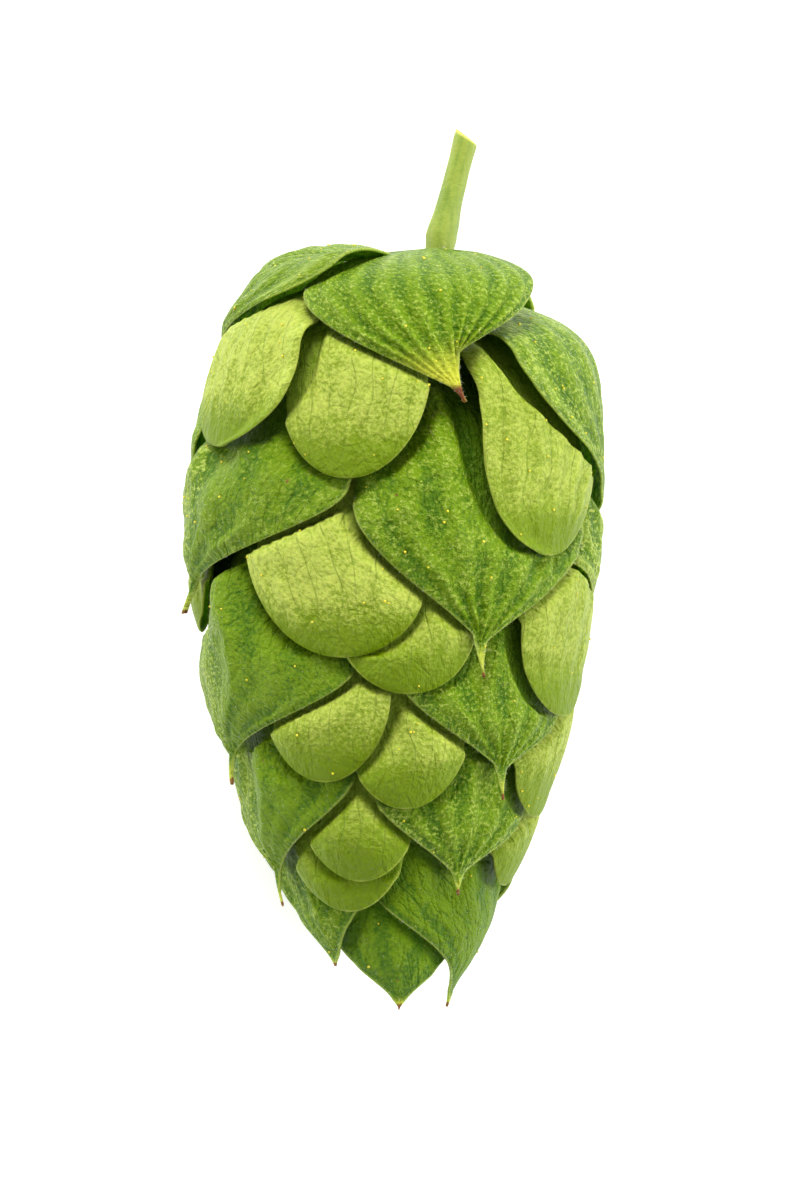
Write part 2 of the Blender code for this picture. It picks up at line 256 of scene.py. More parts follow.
BRACTEOLE_ROWS = {
    "cap_left": (11.2, 11.2, -54, 29, -58, 4.2, 0.6, 0.2),
    "cap_front": (13.0, 12.9, -12, 23.5, -12.5, 6.4, 0.8, 0.2),
    "cap_right": (16.3, 16.9, 57, 33, 49, 11.0, 0.9, 0.1),
    "cap_back_a": (11.4, 11.4, 156, 27, 158, 4.6, 1.0, 0.0),
    "cap_back_b": (13.2, 13.2, -162, 27, -164, 4.8, 1.0, 0.0),
    "1_a": (22.3, 22.2, -20.5, 28, -15, 5.2, 0.9, 0.3),
    "1_b": (24.1, 24.1, 3, 22.5, 5, 4.2, 0.9, 0.3),
    "1_right": (22.7, 25.3, 72, 29, 66, 6.5, 1.0, 0.1),
    "2_a": (29.3, 28.7, -22, 23, -25, 4.2, 0.8, 0.3),
    "2_b": (30.6, 30.1, 6, 22, 5, 4.2, 0.9, 0.3),
    "2_right": (29.2, 30.6, 76, 25, 70, 5.0, 0.9, 0.1),
    "3_a": (35.0, 33.9, -15, 25, -15, 3.4, 0.9, 0.2),
    "3_b": (36.7, 35.5, -24, 30, -24, 3.6, 0.7, 0.1),
    "3_right": (35.0, 34.2, 76, 24, 70, 4.0, 0.8, 0.1),
    "back_1_b": (18.2, 18.2, -167, 23, -167, 5.0, 1.0, 0.0),
    "back_1_a": (20.1, 20.1, 163, 26, 165, 5.0, 1.0, 0.0),
    "left_1": (21.2, 20.9, -99, 21, -97, 4.0, 0.9, 0.0),
    "back_2_b": (25.0, 24.9, -163, 25, -164, 5.0, 1.0, 0.0),
    "back_2_a": (26.9, 26.8, 164, 26, 165, 5.0, 1.0, 0.0),
    "back_3_b": (31.7, 31.4, -163, 26, -164, 4.4, 0.9, 0.0),
    "back_3_a": (33.4, 33.0, 164, 27, 165, 4.2, 0.9, 0.0),
    "back_4": (38.6, 37.4, 178, 34, 178, 3.6, 0.7, 0.0),
}
BRACTS = [Bract(f"bract_{name}", *row) for name, row in BRACT_ROWS.items()]
BRACTEOLES = [Bracteole(f"bracteole_{name}", *row) for name, row in BRACTEOLE_ROWS.items()]
LAYERS = sorted(BRACTS + BRACTEOLES, key=lambda scale: scale.seat)

# ribs: how many run lengthwise. rib, pucker, swell, dome, keel: the heights of the ribs, of the
# small blisters between veins, of the broad waves, of the rounded bulge that falls away at the
# rim, and of a lengthwise fold. fold: where that stands, from the left rim at -1 to the right rim
# at 1. lift_left and lift_right: how far each rim turns up. bloom: the share of pale down. yellow
# and brown: how far the tip's yellow zone and its dried point reach. hook: how far the awn's point
# bends sideways. tuck: how far the base, at its full width, dips down behind its neighbours.
# A scale's bloom share also sets how strongly a bract's painted highlights and sheen show, and how pale a
# bracteole becomes.
BRACT_RELIEF = {
    "ribs": 7, "rib": 0.10, "pucker": 0.16, "swell": 0.12, "dome": 0.1, "keel": 0.0, "fold": 0.0,
    "lift_left": 0.1, "lift_right": 0.1, "bloom": 0.4, "yellow": 1.4, "brown": 0.5, "hook": 0.0, "tuck": 0.0,
}
Relief = namedtuple("Relief", BRACT_RELIEF)
PLAIN_BRACT = Relief(**BRACT_RELIEF)
PLAIN_BRACTEOLE = PLAIN_BRACT._replace(
    rib=0.05, pucker=0.1, swell=0.1, dome=0.4, lift_left=0.0, lift_right=0.0,
    bloom=0.5, yellow=0.0, brown=0.0,
)
FOLDED = dict(rib=0.1, swell=0.0, dome=0.0, fold=0.35, lift_left=0.0)
FLANK = dict(ribs=6, rib=0.1, swell=0.0, dome=0.1, bloom=0.35)
RELIEFS = {
    "bract_cap_front": dict(
        ribs=10, rib=0.26, pucker=0.08, lift_left=0.25, lift_right=0.3,
        bloom=0.6, yellow=4.6, brown=1.3, hook=0.15,
    ),
    "bract_cap_left": dict(rib=0.2, lift_right=0.3, bloom=0.6, tuck=3.2),
    "bract_cap_right": dict(rib=0.14, pucker=0.06, swell=0.0, dome=0.0, lift_left=0.3, bloom=0.7),
    "bract_1_left": dict(FOLDED, ribs=6, pucker=0.18, keel=0.35, fold=0.3, brown=0.3),
    "bract_1_right": dict(
        ribs=6, rib=0.2, pucker=0.26, swell=0.3, bloom=0.5, yellow=2.4, brown=0.4, hook=0.1
    ),
    "bract_2_left": dict(FOLDED, keel=0.6, bloom=0.25, yellow=1.8, brown=0.4, hook=0.7),
    "bract_2_right": dict(ribs=6, rib=0.16, pucker=0.24, bloom=0.6, yellow=1.6),
    "bract_3_left": dict(FOLDED, keel=0.5, bloom=0.1, brown=0.3, hook=0.6),
    "bract_3_right": dict(ribs=6, rib=0.16, pucker=0.2, bloom=0.6, yellow=1.2),
    "bract_4_left": dict(ribs=4, rib=0.08, bloom=0.55, yellow=0.5, brown=0.3),
    "bract_4_right": dict(ribs=5, rib=0.05, pucker=0.05, bloom=0.0, yellow=1.0, brown=0.4),
    "bract_5_front": dict(ribs=4, rib=0.05, bloom=0.2, yellow=1.0),
    "bract_back_1_right": dict(bloom=1.6),
    "bracteole_cap_left": dict(ribs=8, rib=0.1, dome=0.15, lift_right=0.7, bloom=0.6),
    "bracteole_cap_front": dict(rib=0.1, pucker=0.13, dome=0.25, lift_right=0.15),
    "bracteole_cap_right": dict(
        ribs=6, rib=0.14, pucker=0.14, swell=0.15, dome=0.0, lift_left=0.3, bloom=0.3
    ),
    "bracteole_1_a": dict(ribs=8, rib=0.1, pucker=0.13, bloom=0.65),
    "bracteole_1_b": dict(bloom=0.4),
    "bracteole_1_right": dict(FLANK, bloom=0.3),
    "bracteole_2_a": dict(bloom=0.4),
    "bracteole_2_b": dict(rib=0.03, bloom=0.4),
    "bracteole_2_right": FLANK,
    "bracteole_3_a": dict(pucker=0.04, bloom=0.2),
    "bracteole_3_b": dict(pucker=0.02, bloom=0.05),
    "bracteole_3_right": dict(FLANK, rib=0.08),
}


# -------- settings


def colour_property(name, description, default):
    """A colour that a user can change."""
    return bpy.props.FloatVectorProperty(
        name=name, description=description, default=default, size=3, min=0.0, max=1.0, subtype="COLOR"
    )


def length_property(name, description, millimetres):
    """A length that a user can change, held in metres."""
    return bpy.props.FloatProperty(
        name=name, description=description, default=millimetres * MM, min=0.0, unit="LENGTH", precision=6
    )


class HopScaleSettings(bpy.types.PropertyGroup):
    """Sizes shared by all scales, and their colours."""

    wall: length_property("Wall", "Thickness of a scale", 0.13)
    cell: length_property("Cell", "Spacing of a scale's grid", 0.23)
    bract_green: colour_property("Bract green", "Main colour of a bract", (0.15, 0.262, 0.0))
    # The bract dark colour is the tone of its veins and grain, and also the painted shade in its grooves and
    # beneath covering scales.
    bract_dark_and_shade: colour_property("Bract dark", "Colour in a bract's grooves", (0.058, 0.15, 0.001))
    # The bract bloom colour is its downy bloom and pale rim, and also its painted highlights on rib crests
    # and painted sheen at its sides and flank.
    bract_bloom_and_sheen: colour_property("Bract bloom", "Colour of the pale down on a bract", (0.4, 0.51, 0.085))
    # A bracteole's green bulge and pale upper part differ partly in their own colour and partly by painted
    # light from above, which leaves the bulge in painted shade.
    bracteole_green: colour_property("Bracteole green", "Colour of a bracteole's bulge", (0.16, 0.25, 0.0))
    bracteole_pale: colour_property("Bracteole pale", "Colour of its upper part", (0.445, 0.53, 0.085))
    # The vein colour also serves as the painted shade beneath the scales that cover a bracteole.
    bracteole_vein_and_shade: colour_property("Bracteole vein", "Colour of its veins", (0.13, 0.24, 0.003))
    tip_yellow: colour_property("Tip yellow", "Colour of a bract's ripening tip", (0.64, 0.67, 0.06))
    tip_brown: colour_property("Tip brown", "Colour of a bract's dried point", (0.22, 0.07, 0.03))


class HopStemSettings(bpy.types.PropertyGroup):
    """Colours of the stem."""

    green: colour_property("Green", "Main colour of the stem", (0.27, 0.35, 0.03))
    # The stem's dark colour is painted shade between its ribs, and also its darker mottle.
    dark: colour_property("Dark", "Colour between the stem's ribs", (0.17, 0.27, 0.015))
    cut: colour_property("Cut", "Colour of the cut end", (0.62, 0.6, 0.1))


class HopTrimSettings(bpy.types.PropertyGroup):
    """Resin glands and hairs."""

    gland: length_property("Gland", "Radius of a resin gland", 0.078)
    gland_spacing: length_property("Gland spacing", "Mean distance between glands", 3.0)
    gland_colour: colour_property("Gland colour", "Colour of the resin", (0.85, 0.74, 0.04))
    hair: length_property("Hair", "Length of a rim hair", 0.24)
    hair_radius: length_property("Hair radius", "Radius of a hair at its root", 0.010)
    hair_colour: colour_property("Hair colour", "Colour of the hairs", (0.78, 0.82, 0.6))


class HopStageSettings(bpy.types.PropertyGroup):
    """Floor, lights and camera."""

    floor_colour: colour_property("Floor colour", "Colour of the floor", (0.95, 0.95, 0.95))
    view_height: length_property("View height", "Height of the camera's field at the cone", 63.2)
    camera_distance: length_property("Camera distance", "From the cone's middle to the camera", 700.0)


# -------- form


def smooth_step(value):
    """Ease from 0 to 1 as the value runs from 0 to 1."""
    value = np.clip(value, 0.0, 1.0)
    return value * value * (3.0 - 2.0 * value)


def turn_between(first, second):
    """The angle from the second turn to the first, the short way round."""
    return (first - second + 180.0) % 360.0 - 180.0


def lattice_value(column, row, seed):
    """A fixed scattered value from 0 to 1 for each lattice point."""
    mixed = np.sin(column * 127.1 + row * 311.7 + seed * 74.7) * 43758.5453
    return mixed - np.floor(mixed)


def soft_noise(across, along, seed):
    """Smooth noise from -1 to 1 with a wavelength of about two units."""
    column, row = np.floor(across), np.floor(along)
    ease_across, ease_along = smooth_step(across - column), smooth_step(along - row)
    near = lattice_value(column, row, seed) * (1.0 - ease_across)
    near = near + lattice_value(column + 1.0, row, seed) * ease_across
    far = lattice_value(column, row + 1.0, seed) * (1.0 - ease_across)
    far = far + lattice_value(column + 1.0, row + 1.0, seed) * ease_across
    return 2.0 * (near + (far - near) * ease_along) - 1.0


def outer_radius(drop, turn):
    """The outer form: a rounded shoulder, a long taper and a flattened underside."""
    leftwards = np.maximum(-np.sin(np.radians(turn)), 0.0)
    rise = SHOULDER_RISE + LEFT_SHOULDER_EASE * leftwards * leftwards
    shoulder = 1.0 - np.exp(-np.maximum(drop + SHOULDER_START, 0.0) / rise)
    along = np.clip((drop - TAPER_START) / TAPER_LENGTH, 0.0, TAPER_LIMIT)
    radius = GIRTH_RADIUS * shoulder * (1.0 - along * along) ** TAPER_POWER
    downwards = -np.cos(np.radians(turn))
    flat = REST_RADIUS / np.maximum(downwards, REST_FROM)
    safe = np.maximum(radius, 0.01)
    pressed = (safe ** -REST_SHARPNESS + flat ** -REST_SHARPNESS) ** (-1.0 / REST_SHARPNESS)
    return np.where(downwards > REST_FROM, pressed, radius)


def by_seat(scale, upper, lower):
    """A value that runs from upper to lower as scales sit further from the shoulder."""
    return upper + (lower - upper) * float(smooth_step((scale.seat - REACH_START) / REACH_RUN))


def reach(scale):
    """The distance along the axis from the scale's base to its seat."""
    return by_seat(scale, SHORT_REACH, LONG_REACH)


def layer_radius(scale, drop, turn):
    """The scale's outer face before its bare part swells: outwards, then sharply along the cone."""
    outer = outer_radius(drop, turn)
    above_seat = scale.seat - drop
    bend = by_seat(scale, SHORT_SHARPNESS, LONG_SHARPNESS)
    inwards = np.maximum(above_seat / reach(scale), 0.0) ** bend
    return outer - DIP * above_seat - (outer - DIP * reach(scale)) * inwards


def half_width(scale, drop, side, radius, fine=True):
    """The scale's half width in millimetres on its left (-1) or right (+1)."""
    to_tip = np.maximum(scale.tip - drop, 0.0)
    full = math.radians(scale.half_turn) * radius
    if isinstance(scale, Bracteole):
        near_tip = np.minimum(to_tip / scale.rounding, 1.0)
        width = full * np.sqrt(1.0 - (1.0 - near_tip) ** 2)
        return np.maximum(width, BRACTEOLE_TIP_HALF_WIDTH)
    awn = np.where(side < 0, scale.awn_left, scale.awn_right)
    slender = AWN_HALF_WIDTH * (to_tip / awn) ** (AWN_TAPER if fine else 1.0)
    along = np.clip((to_tip - awn) / scale.shoulder, 0.0, 1.0)
    leafy = AWN_HALF_WIDTH + (full - AWN_HALF_WIDTH) * np.sin(0.5 * math.pi * along) ** SHOULDER_POWER
    return np.maximum(np.where(to_tip < awn, slender, leafy), AWN_TIP_HALF_WIDTH)


def middle_turn(scale, drop):
    """The turn of the scale's middle line, which bends towards its tip."""
    towards_tip = smooth_step(1.0 - (scale.tip - drop) / TIP_BEND_RUN)
    return scale.turn + turn_between(scale.tip_turn, scale.turn) * towards_tip


def clearance(cover, drop, turn, radius):
    """The distance from a place to the edge of a covering scale, negative beneath it."""
    aside = turn_between(turn, middle_turn(cover, drop))
    width = half_width(cover, drop, np.sign(aside), radius, fine=False)
    beside = np.radians(np.abs(aside)) * radius - width
    beside = np.where(width < COVER_HALF_WIDTH, np.maximum(beside, COVER_HALF_WIDTH), beside)
    past_tip = drop - cover.tip
    return np.where(past_tip > 0.0, np.hypot(np.maximum(beside, 0.0), past_tip), beside)


def bareness(scale, drop, turn, radius):
    """1 where nothing lies on the scale, easing to 0 beneath the scales outside it.

    The second value eases over a longer run, for the broad relief that must rise gently.
    """
    bare, risen = np.ones_like(drop), np.ones_like(drop)
    for cover in LAYERS[: LAYERS.index(scale)]:
        clear = clearance(cover, drop, turn, radius) - CLEAR_GAP
        bare = bare * smooth_step(clear / CLEAR_RUN)
        risen = risen * smooth_step(clear / RISE_RUN)
    return bare, risen


def stem_shift(drop):
    """How far the stem's middle line stands to the right of the cone's axis."""
    leaning = STEM_SHIFT - STEM_LEAN * drop
    inside = STEM_SHIFT * np.exp(-((drop / STEM_SHIFT_RUN) ** 2))
    return np.where(drop < 0.0, leaning, inside)


def place(radius, turn, drop, sideways=0.0):
    """Points at a radius, turn and drop, in metres. Near the middle they follow the stem."""
    angle = np.radians(turn)
    inward = np.maximum(1.0 - radius / GIRTH_RADIUS, 0.0) ** 2
    x = radius * np.sin(angle) + stem_shift(drop) * inward + sideways * np.cos(angle)
    z = np.maximum(AXIS_HEIGHT + radius * np.cos(angle) - sideways * np.sin(angle), 0.0)
    return np.stack([x, SHOULDER_Y - drop, z], axis=-1) * MM


def row_drops(scale, cell):
    """The drops of a scale's rows, evenly spread along its profile and closer at its tip."""
    base = scale.seat - reach(scale)
    fine = base + (scale.tip - base) * np.linspace(0.0, 1.0, PROFILE_STEPS) ** 2
    radius = layer_radius(scale, fine, scale.turn)
    fine, radius = fine[radius > BASE_RADIUS], radius[radius > BASE_RADIUS]
    travelled = np.concatenate([[0.0], np.cumsum(np.hypot(np.diff(fine), np.diff(radius)))])
    count = int(travelled[-1] / cell)
    wanted = travelled[-1] * (1.0 - (1.0 - np.arange(count + 1) / count) ** ROW_CROWDING)
    return np.interp(wanted, travelled, fine), wanted


# Each noise on a scale adds its own fraction to the scale's seed, so that no two run alike.
Blade = namedtuple("Blade", "across drop along width turn beside to_side to_tip awn leafy seed")


def scale_blade(scale, relief, cell):
    """A grid over a scale, and how its points lie from its middle line, its sides and its tip."""
    drops, travelled = row_drops(scale, cell)
    girth = math.radians(scale.half_turn) * float(outer_radius(scale.seat - GIRTH_ABOVE_SEAT, scale.turn))
    columns = max(int(2.0 * girth / cell), LEAST_COLUMNS)
    across = np.linspace(-1.0, 1.0, columns + 1)[None, :] * np.ones((len(drops), 1))
    drop = drops[:, None] * np.ones((1, columns + 1))
    along = travelled[:, None] * np.ones((1, columns + 1))

    profile = layer_radius(scale, drop, scale.turn)
    grown = smooth_step((profile - BASE_RADIUS) / (FULL_WIDTH_RADIUS - BASE_RADIUS))
    narrowing = 1.0 if relief.tuck else BASE_NARROWING
    width = half_width(scale, drop, across, profile) * (narrowing + (1.0 - narrowing) * grown)
    turn = middle_turn(scale, drop) + across * np.degrees(width / profile)
    beside, to_tip = across * width, scale.tip - drop
    awn = 0.5 * (scale.awn_left + scale.awn_right) if isinstance(scale, Bract) else 0.0
    leafy = smooth_step((to_tip - awn) / AWN_EASE) if awn else np.ones_like(drop)
    seed = float(LAYERS.index(scale) + 1)
    return Blade(across, drop, along, width, turn, beside, width - np.abs(beside), to_tip, awn, leafy, seed)


def small_relief(blade, relief, inner):
    """The height of the ribs, the blisters and the turned-up rims, and the ribs' mask."""
    wander = soft_noise(blade.beside * RIB_WANDER_ACROSS, blade.along * RIB_WANDER_ALONG, blade.seed)
    wander = RIB_WANDER * wander
    rib = (0.5 + 0.5 * np.cos(math.pi * (blade.across * relief.ribs + wander))) ** RIB_SHARPNESS
    rib = rib * smooth_step(blade.to_tip / RIB_TIP_RUN) * smooth_step(blade.to_side / RIB_RIM_RUN)
    across, along = blade.beside / PUCKER_ACROSS, blade.along / PUCKER_ALONG
    pucker = soft_noise(across, along, blade.seed + 0.3)
    pucker = pucker + 0.5 * soft_noise(FINE_PUCKER * across, FINE_PUCKER * along, blade.seed + 0.6)
    pucker = smooth_step(0.5 + PUCKER_CONTRAST * pucker)
    lift = np.where(blade.across < 0.0, relief.lift_left, relief.lift_right)
    uneven = soft_noise(blade.drop * RIM_LIFT_ALONG, blade.across, blade.seed + 1.7)
    lift = lift * (1.0 + RIM_LIFT_WANDER * uneven) * smooth_step(1.0 - blade.to_side / RIM_LIFT_WIDTH)
    lift = lift * blade.leafy * smooth_step(blade.width / RIM_LIFT_EASE)
    mask = np.clip(RIB_MASK_SHARE * rib + (1.0 - RIB_MASK_SHARE) * pucker, 0.0, 1.0)
    return relief.rib * rib + relief.pucker * pucker * inner + lift, mask


def broad_relief(blade, relief, inner):
    """The height of the waves, the fold and the rounded bulge."""
    swell = 0.5 + 0.5 * soft_noise(blade.beside / SWELL_ACROSS, blade.along / SWELL_ALONG, blade.seed + 0.9)
    fold = np.exp(-np.abs(blade.beside - relief.fold * blade.width) / KEEL_WIDTH)
    near = np.minimum(blade.to_side / DOME_RUN, (blade.to_tip - blade.awn) / DOME_TIP_RUN)
    fall = 1.0 - np.clip(near, 0.0, 1.0)
    dome = np.sqrt(1.0 - fall**DOME_POWER)
    return relief.swell * swell * inner + (relief.keel * fold + relief.dome * dome) * blade.leafy


def scale_surface(scale, relief, cell):
    """The finished outer face of a scale: its points, and what its finish needs to know."""
    blade = scale_blade(scale, relief, cell)
    across, drop, to_tip = blade.across, blade.drop, blade.to_tip
    radius = layer_radius(scale, drop, blade.turn)
    bare, risen = bareness(scale, drop, blade.turn, radius)
    to_rim = np.minimum(blade.to_side, to_tip)
    inner = smooth_step(to_rim / INNER_RUN)
    height, rib_mask = small_relief(blade, relief, inner)
    rise = broad_relief(blade, relief, inner)

    swelling = scale.fill * DIP * np.maximum(scale.seat - drop, 0.0)
    swelling = swelling + scale.bulge * (1.0 - across * across)
    gentle = GENTLE_SHARE if isinstance(scale, Bract) else 0.0
    radius = radius + ((1.0 - gentle) * swelling + height) * bare + (rise + gentle * swelling) * risen
    bend = 0.0 * drop
    if isinstance(scale, Bract):
        radius = radius + AWN_KICK * np.maximum(blade.awn - to_tip, 0.0)
        bend = relief.hook * np.maximum(1.0 - to_tip / blade.awn, 0.0) ** 2
    hump = TUCK_HUMP * np.sin(math.pi * np.clip(radius / GIRTH_RADIUS, 0.0, 1.0)) * smooth_step(0.5 - across)
    tucked = relief.tuck * (np.maximum(1.0 - radius / TUCK_RADIUS, 0.0) - hump)
    points = place(radius, blade.turn, drop + tucked, bend)

    from_tip = to_tip + TIP_CURVE * np.abs(blade.beside)
    flank = (relief.keel > 0.0) * smooth_step((relief.fold - across) / FLANK_EASE)
    brown = from_tip / relief.brown if relief.brown else 1.0 + 0.0 * drop
    fields = {
        "rib": rib_mask,
        "rim": np.clip(to_rim, 0.0, WIDEST_RIM),
        "bare": bare,
        # The bloom share, with painted light added on a folded bract's flank.
        "bloom": relief.bloom + FLANK_PAINTED_LIGHT * flank,
        "yellow": smooth_step(1.0 - from_tip / relief.yellow) if relief.yellow else 0.0 * drop,
        "brown": smooth_step(BROWN_EDGE * (1.0 - brown)),
        "fan": across,
        "to_tip": to_tip,
    }
    leaf = np.stack([blade.beside, blade.along, np.full_like(drop, LEAF_SPACING * blade.seed)], axis=-1)
    return points, fields, leaf


def make_mesh(name, points, faces, masks):
    """A mesh with a value at each point for each named mask."""
    mesh = bpy.data.meshes.new(name)
    mesh.from_pydata(points, [], faces)
    for mask, values in masks.items():
        values = np.asarray(values, dtype=np.float32).ravel()
        mesh.attributes.new(mask, "FLOAT", "POINT").data.foreach_set("value", values)
    mesh.update()
    return mesh


def grid_mesh(name, points, fields, leaf):
    """A mesh from rows of points, with its UV map and its named attributes."""
    rows, columns = points.shape[0], points.shape[1]
    corner = (np.arange(rows - 1)[:, None] * columns + np.arange(columns - 1)[None, :]).ravel()
    faces = np.stack([corner, corner + columns, corner + columns + 1, corner + 1], axis=-1)
    mesh = make_mesh(name, points.reshape(-1, 3).tolist(), faces.tolist(), fields)
    layer = mesh.attributes.new("leaf", "FLOAT_VECTOR", "POINT")
    layer.data.foreach_set("vector", leaf.astype(np.float32).ravel())
    u, v = (np.linspace(UV_MARGIN, 1.0 - UV_MARGIN, count) for count in (columns, rows))
    spread = np.stack(np.meshgrid(u, v), axis=-1).reshape(-1, 2)
    uv = mesh.uv_layers.new(name="leaf_map")
    uv.data.foreach_set("uv", spread[faces.ravel()].astype(np.float32).ravel())
    return mesh


def rests_in_frame(piece, node, allowance):
    """Stops the script if a finished piece has left the space of the node it stands for."""
    low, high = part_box(node)
    points = np.array([vertex.co for vertex in piece.data.vertices])
    over = max((np.array(low) - points.min(0)).max(), (points.max(0) - np.array(high)).max())
    if over > allowance:
        raise RuntimeError(f"{piece.name} stands {over / MM:.2f} mm outside {node}")


# -------- finishes


class Field:
    """A value that varies over a surface. Arithmetic on it adds Math nodes to its finish."""

    def __init__(self, finish, socket):
        self.finish = finish
        self.socket = socket

    def join(self, operation, first, second):
        return self.finish.add("ShaderNodeMath", {"operation": operation}, {0: first, 1: second})

    def __add__(self, other):
        return self.join("ADD", self, other)

    def __radd__(self, other):
        return self.join("ADD", other, self)

    def __sub__(self, other):
        return self.join("SUBTRACT", self, other)

    def __rsub__(self, other):
        return self.join("SUBTRACT", other, self)

    def __mul__(self, other):
        return self.join("MULTIPLY", self, other)

    def __rmul__(self, other):
        return self.join("MULTIPLY", other, self)


class Finish:
    """A Principled material and the nodes that vary it."""

    def __init__(self, name, **settings):
        self.material = bpy.data.materials.new(name)
        self.material.use_nodes = True
        self.tree = self.material.node_tree
        self.shader = self.tree.nodes["Principled BSDF"]
        for socket, value in settings.items():
            self.shader.inputs[socket.replace("_", " ")].default_value = value

    def add(self, kind, settings=None, sockets=None, output=0):
        """Add a node of any kind: its settings first, then its sockets' values or links."""
        node = self.tree.nodes.new(kind)
        for name, value in (settings or {}).items():
            setattr(node, name, value)
        for name, value in (sockets or {}).items():
            self.feed(node.inputs[name], value)
        return Field(self, node.outputs[output])

    def feed(self, socket, value):
        """Set a socket, or link it to a field."""
        if isinstance(value, Field):
            self.tree.links.new(value.socket, socket)
        else:
            socket.default_value = value

    def attribute(self, name, output="Fac"):
        """A named attribute of the mesh."""
        return self.add("ShaderNodeAttribute", {"attribute_name": name}, output=output)

    def masks(self, names):
        """Several attributes of the mesh, by their names in one text."""
        return [self.attribute(name) for name in names.split()]

    def places(self):
        """The surface's own coordinates, in metres."""
        return self.add("ShaderNodeTexCoord", output="Object")

    def stretched(self, vector, factors):
        """A vector with each direction multiplied by its own factor."""
        return self.add("ShaderNodeVectorMath", {"operation": "MULTIPLY"}, {0: vector, 1: factors})

    def noise(self, vector, scale, detail=2.0, rough=0.55, warp=0.0):
        """Soft noise from 0 to 1."""
        sockets = {"Vector": vector, "Scale": scale, "Detail": detail}
        sockets.update({"Roughness": rough, "Distortion": warp})
        return self.add("ShaderNodeTexNoise", {}, sockets)

    def net(self, vector, scale):
        """The distance from the lines of an irregular net."""
        sockets = {"Vector": vector, "Scale": scale}
        return self.add("ShaderNodeTexVoronoi", {"feature": "DISTANCE_TO_EDGE"}, sockets)

    def ease(self, value, low, high):
        """0 below low and 1 above high, or the reverse where low is the larger, eased between."""
        ends = {"From Min": min(low, high), "From Max": max(low, high)}
        ends.update({"To Min": float(low > high), "To Max": float(low <= high)})
        return self.add("ShaderNodeMapRange", {"interpolation_type": "SMOOTHSTEP"}, {"Value": value, **ends})

    def blend(self, share, first, second):
        """One colour easing into another."""
        colours = [value if isinstance(value, Field) else (*value, 1.0) for value in (first, second)]
        sockets = {0: share, 6: colours[0], 7: colours[1]}
        return self.add("ShaderNodeMix", {"data_type": "RGBA"}, sockets, output=2)

    def finish(self, colour, roughness, height, depth):
        """Link the colour, the roughness and the bump, whose depth is in millimetres."""
        bump = self.add("ShaderNodeBump", {}, {"Strength": 1.0, "Distance": depth * MM, "Height": height})
        self.feed(self.shader.inputs["Base Color"], colour)
        self.feed(self.shader.inputs["Roughness"], roughness)
        self.feed(self.shader.inputs["Normal"], bump)
        return self.material


def leaf_finish(name):
    """The common ground of both leaf finishes: matt, and light passes in a little."""
    return Finish(
        name,
        Subsurface_Weight=0.25,
        Subsurface_Radius=(0.7, 1.0, 0.15),
        Subsurface_Scale=0.7 * MM,
        Specular_IOR_Level=0.16,
    )


def bract_finish(settings):
    """Mid green, ribbed and downy, with a pale rim, a yellowing tip and a dried point; painted shade darkens
    its grooves and the parts beneath covering scales, and painted highlights and sheen pale its rib crests,
    its sides and a folded flank.
    """
    finish = leaf_finish("bract_leaf")
    ease, blend, noise = finish.ease, finish.blend, finish.noise
    leaf = finish.attribute("leaf", "Vector")
    fan, rim, bare, bloom, rib = finish.masks("fan rim bare bloom rib")
    grain = noise(leaf, 5.2, detail=3.0, rough=0.7)
    mottle = noise(leaf, 0.9, detail=2.0)
    streak = noise(finish.stretched(leaf, (2.4, 0.35, 1.0)), 1.0, detail=3.0, warp=0.4)
    net = finish.net(finish.stretched(leaf, (1.0, 0.55, 1.0)), 1.3)
    vein = ease(net, 0.11, 0.0) * 0.5 + ease(streak, 0.58, 0.72) * 0.35

    # Painted shade darkens the grooves between the ribs and blisters; the grain and veins add the leaf's own
    # darker tone.
    dark = ease(rib, 0.55, 0.05) * 0.6 + ease(grain, 0.54, 0.34) * 0.6 + vein * 0.5
    colour = blend(ease(dark, 0.1, 1.15), settings.bract_green, settings.bract_dark_and_shade)
    # The pale bloom follows the grain as the leaf's own colour; painted highlights on the rib crests and
    # painted sheen towards both sides are added to it.
    down_and_sheen = ease(grain, 0.5, 0.64) * (0.4 + mottle * 1.3) * bloom
    down_and_sheen = down_and_sheen + ease(rib, 0.35, 1.0) * bloom * 0.3
    down_and_sheen = down_and_sheen + ease(fan * fan, 0.35, 1.0) * bloom * 0.3
    colour = blend(ease(down_and_sheen, 0.0, 1.05), colour, settings.bract_bloom_and_sheen)
    yellow = finish.attribute("yellow") * (0.7 + grain * 0.5)
    colour = blend(ease(yellow, 0.05, 0.95), colour, settings.tip_yellow)
    colour = blend(ease(rim, 0.22, 0.02) * 0.62, colour, settings.bract_bloom_and_sheen)
    speck = ease(noise(leaf, 1.7, detail=1.0), 0.775, 0.83)
    colour = blend(speck * 0.7, colour, settings.tip_brown)
    brown = finish.attribute("brown") * (0.75 + grain * 0.5)
    colour = blend(ease(brown, 0.2, 0.8), colour, settings.tip_brown)
    # Painted shade: a bract darkens where the scales outside it cover it.
    colour = blend(ease(bare, 0.5, 0.0) * 0.6, colour, settings.bract_dark_and_shade)
    roughness = 0.38 + grain * 0.2 - ease(rib, 0.5, 1.0) * 0.06
    crinkle = noise(finish.stretched(leaf, (1.5, 1.0, 1.0)), 1.6, detail=2.0, rough=0.6)
    height = grain * 0.7 - vein * 0.4 + streak * 0.35 + crinkle * 1.4
    return finish.finish(colour, roughness, height, 0.3)


